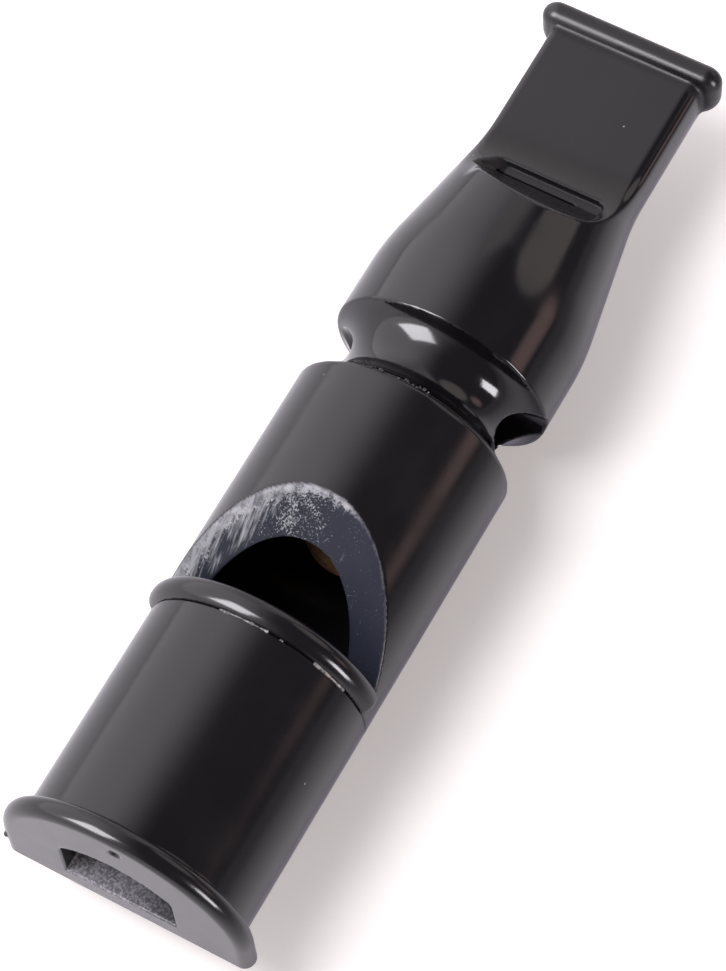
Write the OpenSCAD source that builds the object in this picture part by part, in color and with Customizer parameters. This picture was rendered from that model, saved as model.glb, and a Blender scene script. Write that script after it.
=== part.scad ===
// Two-ended dog whistle: a pea whistle and a high tone whistle joined at a neck with a cord hole.
// Millimetres, +Z up, the long axis along X with the pea end at -X.
// The origin is under the middle of the whistle, on the surface that it lies on.

/* [Round body] */
// Outside diameter of the barrel and of the tone body
tube_d = 20; // [18:0.5:22]
// Bore of the barrel
bore_d = 14.3; // [12.5:0.1:15]

/* [Pea barrel] */
// Length of the barrel
barrel_l = 24.6; // [23:0.1:30]
// Thickness of the wall that closes the near end of the barrel
end_wall_t = 2.25; // [1.5:0.05:3]
// Height of the half ring over the top of the end wall
rib_h = 0.75; // [0.4:0.05:1]
// Angle above the sides at which the half ring stops, in degrees
rib_stop_angle = 12; // [4:1:20]
// Length of the sound window at the top, from the end wall
window_l = 10.7; // [9:0.1:12]
// Slant of the far face of the window to the axis, in degrees
window_angle = 36.7; // [32:0.1:45]
// Rounding of the outer edge at the open end
barrel_rim_r = 0.5; // [0.2:0.1:1]

/* [Pea mouthpiece] */
// Length of the mouthpiece with its lip
mouth_l = 21.35; // [18:0.05:28]
// Depth of the flat underside below the axis
mouth_drop = 3.7; // [3:0.1:4.5]
// Thickness of the floor under the windway
mouth_floor_t = 2.3; // [1.5:0.1:3]
// Diameter of the round lip that runs over the top of the end
mouth_lip_d = 2.2; // [1.4:0.1:2.8]
// Width of the windway in the mouthpiece
inlet_w = 10.1; // [7:0.1:11]
// Height of the inlet at the middle
inlet_h = 6.85; // [5:0.05:7.5]
// Start of the ramp, from the near end
ramp_start = 6; // [3:0.5:10]
// Height of the blunt front of the ramp
ramp_front_h = 0.4; // [0.2:0.1:0.8]
// Height of the slit where the air leaves the windway
exit_h = 1.4; // [0.9:0.1:2]
// Glue gap on each side of the two windway blocks
block_gap = 0.05; // [0.02:0.01:0.1]

/* [Pea] */
// Diameter of the cork pea
pea_d = 9; // [7:0.1:10]
// Least gap between the pea and the barrel
pea_gap = 0.25; // [0.15:0.05:0.5]

/* [Neck] */
// Length of the hollow neck between the two round bodies
neck_l = 6.4; // [6.2:0.1:8]
// Smallest diameter of the neck
neck_d = 16; // [14.5:0.1:17]
// Diameter of the cord hole across the neck
cord_hole_d = 6; // [3.5:0.1:6]
// Length of the plug that goes into the barrel
plug_l = 3.6; // [2.5:0.1:5]
// Glue gap round the plug
plug_gap = 0.05; // [0.02:0.01:0.1]
// Depth of the step between the barrel and the neck
neck_step = 0.5; // [0.2:0.1:0.8]

/* [Tone body] */
// Length of the straight part of the tone body
tone_straight_l = 7.2; // [6:0.1:10]
// Length over which the tone body narrows to the beak
taper_l = 13.9; // [13:0.1:18]
// Length of the beak between the taper and its lip
beak_l = 12.2; // [9:0.1:18]
// Width of the beak
beak_w = 14.8; // [13.5:0.1:16]
// Thickness of the beak
beak_t = 5.1; // [4.6:0.1:6]
// Diameter of the round lip that runs round the beak's end
beak_lip_d = 2.8; // [2:0.1:3.2]
// How far the lip stands out all round
beak_lip_h = 1; // [0.5:0.1:1.2]
// Slant of the shoulder behind the crest to the axis, in degrees
shoulder_angle = 43.5; // [40:0.5:48]
// Distance of the shoulder's foot from the end of the taper
shoulder_back = 0.9; // [0.5:0.1:2]
// Start of the sloped belly before the taper
belly_lead = 1; // [0.5:0.1:3]
// Length of the sloped belly past the end of the taper
belly_l = 4.6; // [3:0.1:8]
// Wall of the tone chamber
tone_wall = 2.4; // [1.8:0.1:3]
// Wall between the chamber and the neck
chamber_end_t = 3.7; // [2.5:0.1:5]

/* [Tone windway] */
// Width of the sound window and of the windway
tone_window_w = 9.8; // [8:0.1:10.5]
// Length of the sound window between the cutting edge and the windway
tone_window_l = 2.1; // [1.5:0.1:3]
// Distance of the sound window from the end of the taper
window_back = 1.75; // [1.3:0.05:2.2]
// Slant of the ramp behind the cutting edge to the axis, in degrees
tone_ramp_angle = 71; // [69:0.5:74]
// Slant of the chamber's ceiling under that ramp, in degrees
tone_ceiling_angle = 55; // [48:0.5:60]
// Thickness of the cutting edge
edge_t = 0.4; // [0.2:0.05:0.6]
// Height of the windway where the air leaves it
tone_exit_h = 0.8; // [0.5:0.05:1]
// Height of the windway at the lip
tone_inlet_h = 1.3; // [1:0.05:1.4]
// Thickness of the beak over the windway
beak_roof_t = 2.2; // [1.9:0.1:2.4]
// Thickness of the block under the windway at the lip
tone_block_t = 0.6; // [0.5:0.05:0.75]
// How far the block stops short of the lip's face
tone_block_inset = 1; // [0.5:0.1:3]

/* [Hidden] */
$fn = 96;
// Overshoot of a cut past the face that it opens
cut = 2;
tube_r = tube_d / 2;
bore_r = bore_d / 2;
big = 2 * tube_d;
// Stations along the axis, from the near end
seam_x = mouth_l;
wall_x = seam_x + end_wall_t;
barrel_end_x = seam_x + barrel_l;
plug_x = barrel_end_x - plug_l;
neck_mid_x = barrel_end_x + neck_l / 2;
neck_end_x = barrel_end_x + neck_l;
taper_x = neck_end_x + tone_straight_l;
beak_x = taper_x + taper_l;
lip_x = beak_x + beak_l;
total_l = lip_x + beak_lip_d;
// Mouthpiece
lip_r = mouth_lip_d / 2;
floor_z = mouth_floor_t - mouth_drop;
roof_tilt = atan2(bore_r - floor_z - inlet_h, mouth_l);
exit_z = bore_r - exit_h;
// Half ring, an arc that meets the barrel at both faces of the end wall
rib_arc_r = (end_wall_t * end_wall_t / 4 + rib_h * rib_h) / (2 * rib_h);
rib_stop_z = tube_r * sin(rib_stop_angle);
// Slanted face of the barrel's window
window_top_x = wall_x + window_l;
window_low_z = tube_r - window_l * tan(window_angle);
// Pea, lying at the plug
pea_r = pea_d / 2;
pea_x = plug_x - pea_gap - pea_r;
pea_z = pea_r + pea_gap - bore_r;
// Groove of the neck, an arc that meets the rim of the tone body
neck_depth = (tube_d - neck_d) / 2;
groove_r = (neck_l * neck_l / 4 + neck_depth * neck_depth) / (2 * neck_depth);
// Beak and its lip
beak_r = beak_w / 2;
beak_z = beak_t / 2;
beak_lip_r = beak_lip_d / 2;
lip_ring_r = beak_r + beak_lip_h - beak_lip_r;
lip_rod_z = beak_z + beak_lip_h - beak_lip_r;
// Outline of the tone body
top_z = tube_r + cut;
shoulder_x = beak_x - shoulder_back;
belly_x = taper_x - belly_lead;
belly_slope = (tube_r - beak_z) / (beak_x + belly_l - belly_x);
// Tone window, windway and chamber
window_x = beak_x - window_back;
edge_x = window_x - tone_window_l;
roof_z = beak_z - beak_roof_t;
exit_floor_z = roof_z - tone_exit_h;
inlet_floor_z = roof_z - tone_inlet_h;
block_floor_z = inlet_floor_z - tone_block_t;
edge_z = roof_z - tone_exit_h / 2;
edge_low_z = edge_z - edge_t;
chamber_x = neck_end_x + chamber_end_t;
chamber_r = tube_r - tone_wall;
chamber_mouth_r = chamber_r - (tube_r - beak_r) * (window_x - taper_x) / taper_l;
chamber_belly_z = tone_wall * sqrt(1 + belly_slope * belly_slope) - tube_r;

module place() {
    translate([-total_l / 2, 0, tube_r]) children();
}

// Round bar along the axis
module bar(x0, x1, r) {
    translate([x0, 0, 0]) rotate([0, 90, 0]) cylinder(h = x1 - x0, r = r);
}

// Box over the whole width between two stations and two heights
module slab(x0, x1, z0, z1, w = big) {
    translate([x0, -w / 2, z0]) cube([x1 - x0, w, z1 - z0]);
}

// Flat profile of radius and station, turned about the axis
module turned() {
    rotate([0, 90, 0]) rotate_extrude() children();
}

// Flat shape of station and height, made as wide as w
module across(w = big) {
    translate([0, w / 2, 0]) rotate([90, 0, 0]) linear_extrude(height = w) children();
}

module outline(points, w = big) {
    across(w) polygon(points);
}

// Arched space that rises from the inlet to the top of the bore
module windway_arch(gap) {
    translate([seam_x, 0, 0])
        rotate([0, -90 - roof_tilt, 0])
            translate([0, 0, -cut]) cylinder(h = mouth_l + 3 * cut, r = bore_r - gap);
}

module pea_mouthpiece() {
    color([0.07, 0.07, 0.075]) place() difference() {
        intersection() {
            turned() {
                square([tube_r, seam_x]);
                translate([tube_r, lip_r]) circle(r = lip_r);
            }
            slab(-cut, seam_x + cut, -mouth_drop, big);
        }
        intersection() {
            windway_arch(0);
            slab(-cut, seam_x + cut, floor_z, big, inlet_w);
        }
    }
}

module pea_windway_block() {
    color([0.16, 0.16, 0.17]) place() intersection() {
        windway_arch(block_gap);
        outline([
            [ramp_start, floor_z],
            [seam_x, floor_z],
            [seam_x, exit_z],
            [ramp_start, floor_z + ramp_front_h]
        ], inlet_w - 2 * block_gap);
    }
}

module pea_barrel() {
    color([0.09, 0.09, 0.1]) place() difference() {
        union() {
            turned() translate([0, seam_x]) {
                square([tube_r, barrel_l - barrel_rim_r]);
                square([tube_r - barrel_rim_r, barrel_l]);
                translate([tube_r - barrel_rim_r, barrel_l - barrel_rim_r]) circle(r = barrel_rim_r);
            }
            intersection() {
                turned() translate([tube_r + rib_h - rib_arc_r, (seam_x + wall_x) / 2]) circle(r = rib_arc_r);
                slab(seam_x, wall_x, rib_stop_z, big);
            }
        }
        bar(wall_x, barrel_end_x + cut, bore_r);
        outline([
            [wall_x, window_low_z],
            [window_top_x, tube_r],
            [window_top_x + cut / tan(window_angle), top_z],
            [wall_x, top_z]
        ]);
        intersection() {
            bar(seam_x - cut, wall_x + cut, bore_r);
            slab(seam_x - cut, wall_x + cut, exit_z, bore_r + cut, inlet_w);
        }
    }
}

module pea_ball() {
    color([0.62, 0.38, 0.2]) place() translate([pea_x, 0, pea_z]) sphere(r = pea_r);
}

// Neck with its groove and the plug that goes into the barrel
module neck() {
    bar(plug_x, neck_mid_x, bore_r - plug_gap);
    turned() difference() {
        union() {
            translate([0, barrel_end_x]) square([tube_r - neck_step, neck_l]);
            translate([0, neck_mid_x]) square([tube_r, neck_l / 2]);
        }
        translate([neck_d / 2 + groove_r, neck_mid_x]) circle(r = groove_r);
    }
}

// Round body that narrows to the flat beak
module tone_outside() {
    intersection() {
        turned() polygon([
            [0, neck_end_x],
            [tube_r, neck_end_x],
            [tube_r, taper_x],
            [beak_r, beak_x],
            [beak_r, lip_x + beak_lip_r],
            [0, lip_x + beak_lip_r]
        ]);
        outline([
            [neck_end_x, -top_z],
            [belly_x - cut, -tube_r - cut * belly_slope],
            [beak_x + belly_l, -beak_z],
            [total_l, -beak_z],
            [total_l, beak_z],
            [shoulder_x, beak_z],
            [shoulder_x - (top_z - beak_z) / tan(shoulder_angle), top_z],
            [neck_end_x, top_z]
        ]);
    }
}

// Plate with a round edge at the end of the beak
module beak_lip() {
    intersection() {
        turned() {
            translate([0, lip_x]) square([lip_ring_r, beak_lip_d]);
            translate([lip_ring_r, lip_x + beak_lip_r]) circle(r = beak_lip_r);
        }
        across() {
            translate([lip_x, -lip_rod_z]) square([beak_lip_d, 2 * lip_rod_z]);
            for (side = [-1, 1])
                translate([lip_x + beak_lip_r, side * lip_rod_z]) circle(r = beak_lip_r);
        }
    }
}

module tone_chamber() {
    intersection() {
        turned() polygon([
            [0, chamber_x],
            [chamber_r, chamber_x],
            [chamber_r, taper_x],
            [chamber_mouth_r, window_x],
            [0, window_x]
        ]);
        outline([
            [chamber_x - cut, chamber_belly_z - (belly_x - chamber_x + cut) * belly_slope],
            [window_x, chamber_belly_z + (window_x - belly_x) * belly_slope],
            [window_x, edge_low_z],
            [edge_x, edge_low_z],
            [edge_x - (top_z - edge_low_z) / tan(tone_ceiling_angle), top_z],
            [chamber_x - cut, top_z]
        ]);
    }
}

module tone_body() {
    color([0.1, 0.1, 0.11]) place() difference() {
        union() {
            neck();
            tone_outside();
            beak_lip();
        }
        tone_chamber();
        outline([
            [edge_x, edge_z],
            [edge_x, edge_low_z - edge_t],
            [window_x, edge_low_z - edge_t],
            [window_x, top_z],
            [edge_x - (top_z - edge_z) / tan(tone_ramp_angle), top_z]
        ], tone_window_w);
        slab(edge_x, total_l + cut, block_floor_z, roof_z, tone_window_w);
        translate([neck_mid_x, 0, 0]) rotate([90, 0, 0]) cylinder(h = big, d = cord_hole_d, center = true);
    }
}

module tone_windway_block() {
    color([0.18, 0.18, 0.19]) place() outline([
        [window_x, block_floor_z],
        [total_l - tone_block_inset, block_floor_z],
        [total_l - tone_block_inset, inlet_floor_z],
        [window_x, exit_floor_z]
    ], tone_window_w - 2 * block_gap);
}

pea_mouthpiece();
pea_windway_block();
pea_barrel();
pea_ball();
tone_body();
tone_windway_block();
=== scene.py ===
"""Dog whistle of black moulded plastic: a pea whistle and a high tone whistle joined at a neck.

The skins of the mouldings are worked out as distance fields in millimetres, on the whistle's own axis
with the near face at x = 0, and then meshed with their small rounded edges and put in the CAD frame.
"""
import math

import bpy
import numpy as np
from bpy.props import FloatProperty, FloatVectorProperty, IntProperty, PointerProperty
from mathutils import Matrix, Vector


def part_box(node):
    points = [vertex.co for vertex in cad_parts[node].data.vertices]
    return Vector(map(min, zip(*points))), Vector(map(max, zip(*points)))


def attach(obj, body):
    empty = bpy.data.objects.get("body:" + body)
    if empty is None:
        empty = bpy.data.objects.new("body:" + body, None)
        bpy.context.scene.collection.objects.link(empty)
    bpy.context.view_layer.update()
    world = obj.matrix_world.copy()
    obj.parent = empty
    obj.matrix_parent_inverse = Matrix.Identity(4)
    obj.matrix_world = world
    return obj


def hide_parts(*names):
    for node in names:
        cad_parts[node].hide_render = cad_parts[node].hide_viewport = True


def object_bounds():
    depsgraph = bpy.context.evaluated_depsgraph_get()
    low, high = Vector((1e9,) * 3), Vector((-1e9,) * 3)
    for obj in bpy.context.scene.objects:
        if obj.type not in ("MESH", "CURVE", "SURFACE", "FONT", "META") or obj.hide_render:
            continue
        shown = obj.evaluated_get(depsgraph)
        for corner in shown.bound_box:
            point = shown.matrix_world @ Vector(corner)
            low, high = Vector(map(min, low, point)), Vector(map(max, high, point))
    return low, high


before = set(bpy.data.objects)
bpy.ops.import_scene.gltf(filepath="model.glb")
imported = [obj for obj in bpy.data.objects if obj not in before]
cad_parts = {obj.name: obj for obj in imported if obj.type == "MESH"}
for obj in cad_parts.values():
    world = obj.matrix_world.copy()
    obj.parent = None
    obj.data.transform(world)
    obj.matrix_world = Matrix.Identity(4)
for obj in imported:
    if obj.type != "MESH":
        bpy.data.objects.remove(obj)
cad_low, cad_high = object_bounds()

bl_info = {
    "name": "Dog whistle",
    "version": (1, 0, 0),
    "blender": (4, 5, 0),
    "location": "View3D > Sidebar > Whistle",
    "description": "Dresses the solids of a two-ended dog whistle",
    "category": "Object",
}

MM = 0.001
BODY = "whistle"
PEA_BODY = "pea"
PLASTIC_SLOT = "black_plastic"
CORK_SLOT = "cork"

# Stations along the axis, taken from the solids
WHOLE_L = (cad_high.x - cad_low.x) / MM
TUBE_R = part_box("tone_body")[1].y / MM
AXIS_Z = TUBE_R
SEAM_X = (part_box("pea_barrel")[0].x - cad_low.x) / MM
BARREL_END_X = (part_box("pea_barrel")[1].x - cad_low.x) / MM
PLUG_X = (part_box("tone_body")[0].x - cad_low.x) / MM


def mm(value):
    """A length property in millimetres."""
    return value / MM


def length_property(name, description, default, least=0.0):
    return FloatProperty(name=name, description=description, default=default, min=least, unit="LENGTH")


def colour_property(name, description, default):
    return FloatVectorProperty(
        name=name, description=description, default=default, subtype="COLOR", min=0.0, max=1.0)


class WhistleSizes(bpy.types.PropertyGroup):
    """Sizes of the mouldings that the solids don't give."""

    bore_d: length_property("Bore", "Bore of the barrel", 0.0143, 0.01)
    wall_t: length_property("End wall", "Wall that closes the near end of the barrel", 0.00225, 0.001)
    mouth_drop: length_property(
        "Flat depth", "Depth of the flat underside of the mouthpiece below the axis", 0.0037, 0.002)
    inlet_w: length_property("Inlet width", "Width of the windway in the mouthpiece", 0.0101, 0.004)
    edge_r: length_property("Edge rounding", "Rounding of the sharp edges of the mouldings", 0.00016)
    lip_fillet: length_property("Lip fillet", "Hollow rounding where the lip meets the beak", 0.0003)
    mesh_step: length_property("Mesh step", "Size of the faces of the moulded skins", 0.00021, 0.0001)
    pea_d: length_property("Pea", "Diameter of the cork pea", 0.009, 0.005)
    flash_h: length_property("Flash", "Height of the burr along the seam", 0.00017)
    speck_count: IntProperty(
        name="Glue specks", description="Specks of dried glue in the gap at the neck", default=46, min=0)


class WhistleColours(bpy.types.PropertyGroup):
    """Colours of the finishes."""

    plastic: colour_property("Plastic", "Black moulded plastic", (0.0034, 0.0030, 0.0036))
    plastic_worn: colour_property("Worn plastic", "Plastic where it is rubbed", (0.030, 0.031, 0.034))
    cut_face: colour_property("Cut face", "Plastic of the sawn window face", (0.009, 0.012, 0.024))
    # Also the colour of the pale rim band, which is partly a painted highlight of the rounded edge
    scuff_and_rim_highlight: colour_property("Scuff", "Whitened scratches on the cut face", (0.42, 0.43, 0.45))
    # Pale peaks of the inlet floor: partly its granular finish, partly painted light where the floor
    # catches light from the front
    granular: colour_property("Granular plastic", "Peaks of the rough inlet", (0.33, 0.33, 0.36))
    slot: colour_property("Slot", "Dull walls of the tone window", (0.008, 0.008, 0.009))
    dust: colour_property("Dust", "Grains of dust and dried glue", (0.34, 0.33, 0.31))
    cork: colour_property("Cork", "Cork of the pea", (0.46, 0.23, 0.085))
    cork_dark: colour_property("Cork pores", "Pores and grain of the cork", (0.12, 0.05, 0.018))
    floor: colour_property("Floor", "Floor under the whistle", (0.93, 0.92, 0.91))


def sizes():
    return bpy.context.scene.whistle_sizes


def colours():
    return bpy.context.scene.whistle_colours


# Distance fields: negative inside the plastic

def keep(a, b, r):
    """What lies in both, with the outer edge between them rounded."""
    both = np.hypot(np.maximum(r + a, 0), np.maximum(r + b, 0))
    return np.minimum(-r, np.maximum(a, b)) + both


def join(a, b, r):
    """What lies in either, with the corner between them filled by a hollow rounding."""
    both = np.hypot(np.maximum(r - a, 0), np.maximum(r - b, 0))
    return np.maximum(r, np.minimum(a, b)) - both


def take(a, b, r):
    """The first without the second, with the edge rounded."""
    return keep(a, -b, r)


def soft_least(a, b, k):
    """The lesser of two values, blended where they are within k of each other."""
    h = np.maximum(k - np.abs(a - b), 0)
    return np.minimum(a, b) - h * h / (4 * k)


def step_up(value, low, high):
    """A smooth rise from 0 to 1 between two values."""
    t = np.clip((value - low) / (high - low), 0, 1)
    return t * t * (3 - 2 * t)


def slope(across, up, px, pz, angle):
    """Distance above a slanted plane through a point, the plane falling towards +X by the angle."""
    return (across - px) * np.sin(angle) + (up - pz) * np.cos(angle)


def gradient(field, p, h=0.02):
    """Direction in which a field grows, at each point."""
    g = np.empty_like(p)
    for axis in range(3):
        d = np.zeros(3)
        d[axis] = h
        g[:, axis] = field(*(p + d).T) - field(*(p - d).T)
    return g / (2 * h)


def skin(field, low, high, step):
    """Vertices, quads and normals of a field's zero surface, with a vertex on each sharp feature."""
    margin = 1.37 * step
    low = np.asarray(low, float) - margin
    counts = np.ceil((np.asarray(high, float) + margin - low) / step).astype(int) + 1
    axes = [low[i] + step * np.arange(counts[i]) for i in range(3)]
    y, z = np.meshgrid(axes[1], axes[2], indexing="ij")
    values = np.stack([field(np.full_like(y, x), y, z) for x in axes[0]])
    inside = values < 0
    cells, points, normals, quads = [], [], [], []
    cell_dims = counts - 1
    for a in range(3):
        b, c = (a + 1) % 3, (a + 2) % 3
        first = [slice(None)] * 3
        second = [slice(None)] * 3
        first[a], second[a] = slice(0, -1), slice(1, None)
        crossed = inside[tuple(first)] != inside[tuple(second)]
        node = np.argwhere(crossed)
        v0 = values[tuple(first)][crossed]
        v1 = values[tuple(second)][crossed]
        p = low + node * step
        p[:, a] += step * v0 / (v0 - v1)
        rise = (v1 - v0) / step
        p[:, a] -= np.clip(field(*p.T) / rise, -0.3 * step, 0.3 * step)
        n = gradient(field, p)
        n /= np.maximum(np.linalg.norm(n, axis=1, keepdims=True), 1e-9)
        ring = []
        for ob, oc in ((-1, -1), (0, -1), (0, 0), (-1, 0)):
            cell = node.copy()
            cell[:, b] += ob
            cell[:, c] += oc
            ring.append(np.ravel_multi_index(cell.T, cell_dims))
        ring = np.stack(ring, axis=1)
        outward = inside[tuple(first)][crossed]
        quads.append(np.where(outward[:, None], ring, ring[:, ::-1]))
        cells.append(ring.ravel())
        points.append(np.repeat(p, 4, axis=0))
        normals.append(np.repeat(n, 4, axis=0))
    cells = np.concatenate(cells)
    points = np.concatenate(points)
    normals = np.concatenate(normals)
    used, index = np.unique(cells, return_inverse=True)
    total = np.bincount(index).astype(float)
    mean = np.stack([np.bincount(index, points[:, i]) for i in range(3)], axis=1) / total[:, None]
    reach = np.einsum("ij,ij->i", normals, points - mean[index])
    hold = 0.06
    matrix = np.empty((len(used), 3, 3))
    right = np.empty((len(used), 3))
    for i in range(3):
        right[:, i] = np.bincount(index, normals[:, i] * reach)
        for j in range(3):
            matrix[:, i, j] = np.bincount(index, normals[:, i] * normals[:, j])
        matrix[:, i, i] += hold * total
    placed = mean + np.linalg.solve(matrix, right[:, :, None])[:, :, 0]
    corner = low + np.stack(np.unravel_index(used, cell_dims), axis=1) * step
    placed = np.clip(placed, corner + 0.02 * step, corner + 0.98 * step)
    for _ in range(2):
        g = gradient(field, placed)
        size = np.maximum(np.einsum("ij,ij->i", g, g), 0.05)
        move = g * (field(*placed.T) / size)[:, None]
        placed -= np.clip(move, -0.25 * step, 0.25 * step)
    g = gradient(field, placed, 0.04)
    g /= np.maximum(np.linalg.norm(g, axis=1, keepdims=True), 1e-9)
    faces = np.searchsorted(used, np.concatenate(quads))
    return placed, faces, g


def to_frame(points):
    """Points on the whistle's own axis, in millimetres, put in the CAD frame in metres."""
    moved = np.array(points, float)
    moved[:, 0] -= WHOLE_L / 2
    moved[:, 2] += AXIS_Z
    return moved * MM


def moulding(name, field, low, high, material, step=None, marks=None):
    """A piece made from a field, with its normals and, where given, masks over its surface."""
    points, faces, normals = skin(field, low, high, step or mm(sizes().mesh_step))
    mesh = bpy.data.meshes.new(name)
    mesh.from_pydata(to_frame(points).tolist(), [], faces.tolist())
    mesh.validate()
    mesh.polygons.foreach_set("use_smooth", np.ones(len(mesh.polygons), bool))
    if len(mesh.vertices) == len(normals):
        mesh.normals_split_custom_set_from_vertices(normals.tolist())
    for mark, value in (marks or {}).items():
        layer = mesh.attributes.new(mark, "FLOAT", "POINT")
        layer.data.foreach_set("value", value(*points.T).astype(np.float32))
    mesh.materials.append(material)
    piece = bpy.data.objects.new(name, mesh)
    bpy.context.scene.collection.objects.link(piece)
    return piece


def radius(y, z):
    return np.hypot(y, z)


# Pea mouthpiece

MOUTH_FACE_X = -0.2
MOUTH_LIP_R = 0.98
MOUTH_LIP_RING_R = 10.37
MOUTH_LIP_FILLET = 0.15
MOUTH_FLAT_EDGE_R = 0.14
MOUTH_TUBE_EDGE_R = 0.02
MOUTH_FLOOR_Z = -1.4
INLET_H = 6.85
INLET_Y = 0.25
INLET_CORNER_R = 0.25
INLET_FLOOR_CORNER_R = 0.15
GATE_MARK = (-0.5, -0.45, 9.1)
GATE_MARK_R = 0.6
GATE_MARK_EDGE_R = 0.1
MOUTH_NUB = (0.15, 11.05, -1.1)
NUB_R = 0.3
NUB_FILLET = 0.08


def ball(x, y, z, centre, r):
    return np.sqrt((x - centre[0]) ** 2 + (y - centre[1]) ** 2 + (z - centre[2]) ** 2) - r


def round_edged_plate(across, along, r):
    """A plate of two radii's thickness whose edge is a half round."""
    return np.where(across > 0, np.hypot(np.maximum(across, 0), along), np.abs(along)) - r


def inlet_field(x, y, z):
    """The arched windway that rises from the inlet to the top of the bore."""
    s = sizes()
    bore_r = mm(s.bore_d) / 2
    tilt = math.atan2(bore_r - MOUTH_FLOOR_Z - INLET_H, SEAM_X)
    height = z * math.cos(tilt) - (x - SEAM_X) * math.sin(tilt)
    arch = radius(y - INLET_Y, height) - bore_r
    arch = keep(arch, np.abs(y - INLET_Y) - mm(s.inlet_w) / 2, INLET_CORNER_R)
    return keep(arch, MOUTH_FLOOR_Z - z, INLET_FLOOR_CORNER_R)


def mouthpiece_field(x, y, z):
    s = sizes()
    edge = mm(s.edge_r)
    lip_x = MOUTH_FACE_X + MOUTH_LIP_R
    tube = keep(radius(y, z) - TUBE_R, lip_x - x, MOUTH_TUBE_EDGE_R)
    straight_sided = np.where(z > 0, radius(y, z), np.abs(y))
    lip = round_edged_plate(straight_sided - MOUTH_LIP_RING_R, x - lip_x, MOUTH_LIP_R)
    solid = join(tube, lip, MOUTH_LIP_FILLET)
    solid = join(solid, ball(x, y, z, MOUTH_NUB, NUB_R), NUB_FILLET)
    solid = keep(solid, x - SEAM_X, 0.6 * edge)
    solid = keep(solid, -mm(s.mouth_drop) - z, MOUTH_FLAT_EDGE_R)
    solid = take(solid, inlet_field(x, y, z), 1.2 * edge)
    return take(solid, ball(x, y, z, GATE_MARK, GATE_MARK_R), GATE_MARK_EDGE_R)


# Pea barrel

RIB_ARC_R = 1.219
RIB_H = 0.75
# Angles above the sides between which the half ring rises from the barrel
RIB_FADE = (math.radians(5), math.radians(15))
WINDOW_L = 10.7
WINDOW_ANGLE = math.radians(36.7)
WINDOW_EDGE_R = 0.26
RIM_R = 0.5
BORE_END_R = 0.3
SLIT_H = 1.4
SLIT_CORNER_R = 0.2


def window_plane(x, z):
    """Distance above the slanted face of the sound window."""
    wall_x = SEAM_X + mm(sizes().wall_t)
    low_z = TUBE_R - WINDOW_L * math.tan(WINDOW_ANGLE)
    return slope(x, z, wall_x, low_z, -WINDOW_ANGLE)


def barrel_field(x, y, z):
    s = sizes()
    edge = mm(s.edge_r)
    bore_r = mm(s.bore_d) / 2
    wall_x = SEAM_X + mm(s.wall_t)
    rad = radius(y, z)
    tube = rad - TUBE_R
    lift = step_up(np.arctan2(z, np.abs(y)), *RIB_FADE)
    rib_r = TUBE_R + RIB_H * lift - RIB_ARC_R
    rib = np.hypot(rad - rib_r, x - (SEAM_X + wall_x) / 2) - RIB_ARC_R
    solid = np.minimum(tube, rib)
    solid = keep(solid, x - BARREL_END_X, RIM_R)
    solid = keep(solid, SEAM_X - x, 0.6 * edge)
    wedge = np.maximum(-window_plane(x, z), wall_x - x)
    solid = take(solid, wedge, WINDOW_EDGE_R)
    bore = keep(rad - bore_r, wall_x - x, BORE_END_R)
    solid = take(solid, bore, WINDOW_EDGE_R)
    slit = keep(rad - bore_r, np.abs(y) - mm(s.inlet_w) / 2, SLIT_CORNER_R)
    slit = np.maximum(np.maximum(slit, bore_r - SLIT_H - z), x - wall_x - 1)
    return take(solid, slit, 0.5 * edge)


# Tone body

NECK_L = 6.4
NECK_STEP = 0.5
GROOVE_R = 3.3
GROOVE_RING_R = 10.8
NECK_EDGE_R = 0.08
CORD_HOLE_R = 3.0
# How far ahead and how low the right mouth of the cord hole is, and over what width the hole slants
CORD_HOLE_AHEAD = 0.6
CORD_HOLE_Z = -0.85
CORD_HOLE_SPAN = 15.0
CORD_HOLE_EDGE_R = 0.1
PLUG_GAP = 0.05
PLUG_EDGE_R = 0.2
TAPER_X = 59.55
TAPER_BLEND = 0.4
TAPER_COS = 0.983
BEAK_X = 73.45
BEAK_R = 7.4
BEAK_Z = 2.55
LIP_X = 86.2
LIP_R = 1.05
LIP_TOP_Z = 2.55
LIP_BOTTOM_Z = -1.9
LIP_HALF_W = 7.6
LIP_TOP_CORNER_R = 0.5
LIP_BOTTOM_CORNER_R = 2.4
SHOULDER_X = 70.75
SHOULDER_ANGLE = math.radians(55.4)
SHOULDER_TWIST = math.radians(0.55)
SHOULDER_HOLLOW_R = 4.0
# The crest's rounding grows towards its left end, and gives way to the beak's along the shoulder
CREST_R = 0.2
LEFT_CREST_R = 1.4
LEFT_CREST_Y = (4.3, 5.6)
CREST_END_X = (SHOULDER_X - 2, SHOULDER_X + 3)
BEAK_EDGE_R = 0.8
LEFT_BEAK_EDGE_R = 0.35
TONE_NUB = (52.55, -9.93, -0.2)
TONE_NUB_R = 0.22
BELLY_X = 58.55
BELLY_END_X = 78.05
BELLY_HOLLOW_R = 0.6
RECESS_X = 71.26
RECESS_Z = 3.1
RECESS_LEAN = math.radians(20)
RECESS_W = 10.25
RECESS_Y = -0.64
RECESS_CORNERS_R = (0.8, 0.3)
RECESS_EDGE_R = 0.1
LEFT_WALL_LEAN = math.radians(52)
LEFT_WALL_IN = 0.7
TONE_WINDOW_X = 70.46
TONE_WINDOW_Y = 0.5
TONE_WINDOW_L = 0.21
TONE_WINDOW_W = 7.8
TONE_WINDOW_RISE = 0.2
WINDWAY_W = 9.8
CEILING_X = 69.6
CEILING_Z = -0.45
CEILING_ANGLE = math.radians(55)
ROOF_Z = 0.35
BLOCK_FLOOR_Z = -1.55
CHAMBER_X = 56.05
CHAMBER_R = 7.6


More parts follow.
